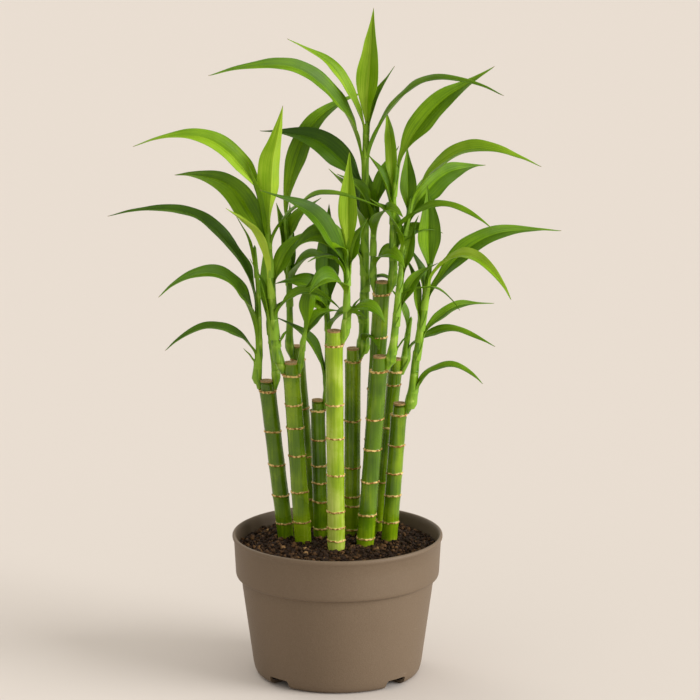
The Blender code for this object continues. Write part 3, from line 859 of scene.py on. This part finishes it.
def leaf_spine(shoot, leaf):
    """Points down the middle of a leaf, from where it leaves its stem to its tip."""
    height, bearing, length, _, rise, fall, bend = leaf[:7]
    centre, stem_radius = stem_at(shoot, height)
    stem = (stem_at(shoot, height + STEM_AHEAD)[0] - centre).normalized()
    out = polar(bearing)
    out = (out - stem * out.dot(stem)).normalized()
    start = stem_radius / math.cos(math.radians(LEAF_FOLD)) + GAP + LEAF_THICKNESS / 2
    points = [centre + out * start]
    for step in range(LEAF_STEPS):
        share = step / LEAF_STEPS
        angle = math.radians(rise + (fall - rise) * share ** bend)
        along = polar(bearing) * math.cos(angle) + UP * math.sin(angle)
        along = stem.lerp(along, smooth_step(share / HUG_SHARE)).normalized()
        points.append(points[-1] + along * (length / LEAF_STEPS))
    return points, stem, out


def leaf_axes(points, share, leaf):
    """Directions across a leaf and up from its face, at a share of its length."""
    bearing = leaf[1]
    turn, tip_turn = leaf[7:]
    ahead = curve_at(points, min(share + 0.02, 1) * LEAF_STEPS)
    back = curve_at(points, max(share - 0.02, 0) * LEAF_STEPS)
    along = (ahead - back).normalized()
    level_side = polar(bearing + 90)
    side = (level_side - along * level_side.dot(along)).normalized()
    inner = along.cross(side)
    late = smooth_step((share - 1 + TURN_SHARE) / TURN_SHARE)
    roll = math.radians(turn * smooth_step(share / TURN_SHARE) + (tip_turn - turn) * late)
    return (
        side * math.cos(roll) + inner * math.sin(roll),
        inner * math.cos(roll) - side * math.sin(roll),
    )


def leaf_half_width(share, foot_half, width):
    """Half a leaf's width: it broadens from the foot, then draws out to the tip."""
    if share < WIDEST:
        return foot_half + (width / 2 - foot_half) * smooth_step(share / WIDEST) ** 1.1
    return width / 2 * (1 - ((share - WIDEST) / (1 - WIDEST)) ** 1.5) ** 1.2


def build_leaf(name, shoot, leaf, paint, stands_for=()):
    """A leaf: its foot wraps the stem as a sheath, opens into a channel and arches out as a blade."""
    height, bearing, length, width = leaf[:4]
    points, stem, out = leaf_spine(shoot, leaf)
    seed = height * 0.37 + bearing * 0.11
    sheath_share = min(SHEATH, length * SHEATH_SHARE) / length
    # A low tone is partly painted shade on a leaf that lies in shade.
    tone = LEAF_TONES_AND_SHADE.get(name, ORDINARY)

    def blade_point(u, share, stem_radius):
        spot = curve_at(points, share * LEAF_STEPS)
        late = max(share - FLICK_START, 0) / (1 - FLICK_START)
        spot = spot + UP * TIP_FLICK * length * math.sin(math.tau * late)
        side, inner = leaf_axes(points, share, leaf)
        half = leaf_half_width(share, 0.9 * min(stem_radius * 0.9, width * 0.4), width)
        edge = math.copysign(1, u)
        half *= 1 + WIDTH_WAVE[0] * wobble((share * length / WIDTH_WAVE[1], 3 * edge, 0), 1.0, seed)
        fold = math.radians(LEAF_CREASE + FOOT_CREASE * (1 - smooth_step(share / OPEN_SHARE)))
        free = smooth_step(share / 0.3) * (1 - share)
        margin = edge * abs(u) ** 2
        ripple = MARGIN_WAVE[0] * free * margin
        ripple *= wobble((share * length / MARGIN_WAVE[1], margin, 0), 1.0, seed)
        sway = BLADE_SWAY[0] * free * wobble((share * length / BLADE_SWAY[1], 0, 0), 1.0, seed + 9)
        lift = half * math.sin(fold) * abs(u) ** 0.85 + ripple
        return spot + side * (half * u * math.cos(fold) + sway) + inner * lift, side

    def sheath_point(u, share, centre, stem_radius, side):
        swing = u * math.radians(SHEATH_WRAP * (1 - 0.45 * smooth_step(share / sheath_share + 1)))
        wrap_side = stem.cross(out)
        if wrap_side.dot(side) < 0:
            wrap_side = -wrap_side
        return centre + (out * math.cos(swing) + wrap_side * math.sin(swing)) * (stem_radius + 0.35)

    def place(u, v):
        if v > 0.999:
            return points[-1], tone
        u = 2 * u - 1
        share = v * (1 + sheath_share) - sheath_share
        centre, stem_radius = stem_at(shoot, height + share * length)
        blade, side = blade_point(u, max(share, 0), stem_radius)
        opened = smooth_step((share + 0.2 * sheath_share) / 0.09)
        if opened < 1:
            blade = sheath_point(u, share, centre, stem_radius, side).lerp(blade, opened)
        return blade, tone

    mesh = grid(LEAF_ACROSS, LEAF_ALONG, place, ("tone",))
    bmesh.ops.remove_doubles(mesh, verts=mesh.verts, dist=MERGE)
    bmesh.ops.recalc_face_normals(mesh, faces=mesh.faces)
    bmesh.ops.solidify(mesh, geom=mesh.faces[:], thickness=LEAF_SKIN * MM)
    blade = finish_piece(mesh, f"{name}_blade", paint, stands_for)
    blade.data.set_sharp_from_angle(angle=math.radians(LEAF_SHARP))
    return blade


def build_leaves(paint):
    for shoot, leaves in LEAVES.items():
        for number, leaf in enumerate(leaves, 1):
            name = f"leaf_{shoot.removeprefix('shoot_')}_{number}"
            build_leaf(name, shoot, leaf, paint, (name,))
    for shoot, leaves in SMALL_LEAVES.items():
        for number, leaf in enumerate(leaves, 1):
            name = f"small_leaf_{shoot.removeprefix('shoot_')}_{number}"
            build_leaf(name, shoot, leaf, paint)


# Studio

def build_floor():
    mesh = bmesh.new()
    bmesh.ops.create_circle(mesh, cap_ends=True, radius=FLOOR_RADIUS, segments=FLOOR_SIDES)
    data = bpy.data.meshes.new("floor")
    mesh.to_mesh(data)
    mesh.free()
    floor = bpy.data.objects.new("floor", data)
    bpy.context.collection.objects.link(floor)
    data.materials.append(floor_paint())


def build_studio():
    for name, place, strength, spread, colour in LAMPS:
        lamp = bpy.data.lights.new(name, "SUN")
        lamp.energy = strength
        lamp.angle = math.radians(spread)
        lamp.color = colour
        holder = bpy.data.objects.new(name, lamp)
        bpy.context.collection.objects.link(holder)
        holder.rotation_euler = Vector(place).to_track_quat("Z", "Y").to_euler()
    air = bpy.data.worlds.new("air")
    air.use_nodes = True
    glow = air.node_tree.nodes["Background"]
    glow.inputs["Color"].default_value = (*AIR_COLOUR, 1)
    glow.inputs["Strength"].default_value = AIR_STRENGTH
    bpy.context.scene.world = air
    bpy.context.scene.view_settings.view_transform = "Standard"
    lens = bpy.data.cameras.new("camera")
    lens.lens = CAMERA_LENS
    lens.sensor_width = CAMERA_SENSOR
    camera = bpy.data.objects.new("camera", lens)
    bpy.context.collection.objects.link(camera)
    camera.location = CAMERA_PLACE
    camera.rotation_euler = (math.radians(90 - CAMERA_TILT), 0, 0)
    bpy.context.scene.camera = camera


build_studio()
build_floor()
build_pot(pot_paint())
earth = soil_paint()
build_soil(earth)
for heap in range(HEAPS):
    build_crumbs(heap, earth)
skin = cane_paint()
for cane in CANES:
    build_cane(cane, skin)
sheaths = stem_paint()
for shoot in SHOOTS:
    build_shoot(shoot, sheaths)
build_leaves(leaf_paint())
